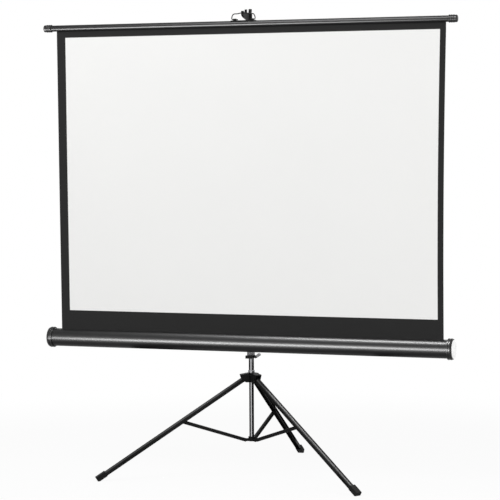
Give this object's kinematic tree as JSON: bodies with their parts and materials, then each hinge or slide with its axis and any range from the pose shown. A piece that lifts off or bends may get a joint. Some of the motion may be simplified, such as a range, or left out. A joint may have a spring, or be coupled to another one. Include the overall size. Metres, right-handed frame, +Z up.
{
  "type": "tripod projection screen",
  "caption": "Portable pull-up projection screen: a white sheet with black borders between a roller case and a top bar, hung on a telescopic mast with a folding tripod.",
  "frame": {"origin": "on the floor, under the middle of the whole outline; the mast stands 0.1466 m in front of it", "axes": "+X to the right of someone facing the screen, +Y behind the screen, +Z up"},
  "size_m": [1.661, 0.9184, 1.7895],
  "materials": {
    "case_black": "gloss black paint",
    "cap_black": "gloss black moulding",
    "leg_black": "satin black paint",
    "black_plastic": "fine-grained black moulding",
    "boot_rubber": "matt black rubber",
    "dark_steel": "dark plated tube, drawn along its length",
    "bright_steel": "zinc plated",
    "pale_plastic": "pale satin moulding",
    "screen_cloth": "matt white coated cloth with black borders"
  },
  "bodies": {
    "mast": {"mast_tube": "dark_steel", "leg_collar": "black_plastic", "collar_ring": "dark_steel", "leg_pin_right": "bright_steel", "leg_pin_rear": "bright_steel", "leg_pin_left": "bright_steel", "mast_clamp": "black_plastic"},
    "base": {"base_rod": "dark_steel", "base_hub": "leg_black"},
    "hook": {"extension_rod": "dark_steel", "hook_head": "black_plastic"},
    "collar_knob": {"collar_knob": "black_plastic"},
    "clamp_knob": {"mast_clamp_knob": "black_plastic"},
    "carriage": {"carriage_sleeve": "dark_steel", "carriage_flange": "black_plastic", "lever_pin": "bright_steel", "case_cradle": "leg_black", "pivot_bolt": "bright_steel", "case_tube": "case_black", "end_cap_right": "cap_black", "end_cap_left": "cap_black", "end_disc_right": "pale_plastic", "end_disc_left": "pale_plastic", "spring_shaft": "bright_steel", "screen_fabric": "screen_cloth"},
    "lever": {"release_lever": "bright_steel"},
    "roller": {"roller_tube": "dark_steel", "roller_plug_right": "black_plastic", "roller_plug_left": "black_plastic", "roller_spring": "bright_steel", "fabric_roll": "screen_cloth"},
    "bar": {"top_bar": "case_black", "bar_cap_right": "cap_black", "bar_cap_left": "cap_black", "bail_saddle": "leg_black"},
    "bail": {"bail": "bright_steel"},
    "leg_rear": {"leg_rear": "leg_black", "foot_rear": "boot_rubber", "brace_pin_rear": "bright_steel"},
    "brace_rear": {"brace_rear": "leg_black"},
    "leg_right": {"leg_right": "leg_black", "foot_right": "boot_rubber", "brace_pin_right": "bright_steel"},
    "brace_right": {"brace_right": "leg_black"},
    "leg_left": {"leg_left": "leg_black", "foot_left": "boot_rubber", "brace_pin_left": "bright_steel"},
    "brace_left": {"brace_left": "leg_black"}
  },
  "joints": [
    {"name": "leg_fold", "type": "hinge", "parent": "mast", "child": "leg_rear", "pos_m": [0, -0.11861, 0.377], "axis": [-1, 0, 0], "range_deg": [0, 56.98]},
    {"name": "leg_fold_right", "type": "hinge", "parent": "mast", "child": "leg_right", "pos_m": [0.02425, -0.1606, 0.377], "axis": [0.5, 0.866, 0], "range_deg": [0, 56.98]},
    {"name": "leg_fold_left", "type": "hinge", "parent": "mast", "child": "leg_left", "pos_m": [-0.02425, -0.1606, 0.377], "axis": [0.5, -0.866, 0], "range_deg": [0, 56.98]},
    {"name": "brace_swing_rear", "type": "hinge", "parent": "leg_rear", "child": "brace_rear", "pos_m": [0, 0.12069, 0.21669], "axis": [-1, 0, 0], "range_deg": [-129.8, 0]},
    {"name": "brace_swing_right", "type": "hinge", "parent": "leg_right", "child": "brace_right", "pos_m": [0.23148, -0.28025, 0.21669], "axis": [0.5, 0.866, 0], "range_deg": [-129.8, 0]},
    {"name": "brace_swing_left", "type": "hinge", "parent": "leg_left", "child": "brace_left", "pos_m": [-0.23148, -0.28025, 0.21669], "axis": [0.5, -0.866, 0], "range_deg": [-129.8, 0]},
    {"name": "base_slide", "type": "slide", "parent": "mast", "child": "base", "axis": [0, 0, 1], "range_m": [-0.30418, 0]},
    {"name": "carriage_lift", "type": "slide", "parent": "mast", "child": "carriage", "axis": [0, 0, 1], "range_m": [0, 0.4]},
    {"name": "rod_extend", "type": "slide", "parent": "mast", "child": "hook", "axis": [0, 0, 1], "range_m": [0, 0.4]},
    {"name": "bar_travel", "type": "slide", "parent": "carriage", "child": "bar", "axis": [0, 0, 1], "range_m": [-1.15, 0], "deforming": ["screen_fabric"]},
    {"name": "roller_turn", "type": "hinge", "parent": "carriage", "child": "roller", "pos_m": [0, -0.20161, 0.519], "axis": [1, 0, 0], "range_deg": [0, 5271.21]},
    {"name": "bail_fold", "type": "hinge", "parent": "bar", "child": "bail", "pos_m": [0, -0.2126, 1.7463], "axis": [1, 0, 0], "range_deg": [0, 85]},
    {"name": "lever_press", "type": "hinge", "parent": "carriage", "child": "lever", "pos_m": [0.0185, -0.14661, 0.459], "axis": [0, -1, 0], "range_deg": [0, 20], "stiffness_Nm_per_rad": 0.2},
    {"name": "collar_screw", "type": "hinge", "parent": "mast", "child": "collar_knob", "pos_m": [0, -0.14661, 0.377], "axis": [-0.866, 0.5, 0], "range_deg": [-360, 0]},
    {"name": "clamp_screw", "type": "hinge", "parent": "mast", "child": "clamp_knob", "pos_m": [0, -0.14661, 1.261], "axis": [0, 1, 0], "range_deg": [-360, 0]}
  ],
  "couplings": [
    {"joint": "leg_fold_right", "follows": "leg_fold", "ratio": 1},
    {"joint": "leg_fold_left", "follows": "leg_fold", "ratio": 1},
    {"joint": "brace_swing_rear", "follows": "leg_fold", "ratio": -2.2781},
    {"joint": "brace_swing_right", "follows": "leg_fold", "ratio": -2.2781},
    {"joint": "brace_swing_left", "follows": "leg_fold", "ratio": -2.2781},
    {"joint": "base_slide", "follows": "leg_fold", "m_per_rad": -0.30588},
    {"joint": "rod_extend", "follows": "carriage_lift", "ratio": 1},
    {"joint": "roller_turn", "follows": "bar_travel", "rad_per_m": -80},
    {"joint": "bail_fold", "follows": "bar_travel", "rad_per_m": -1.29}
  ]
}
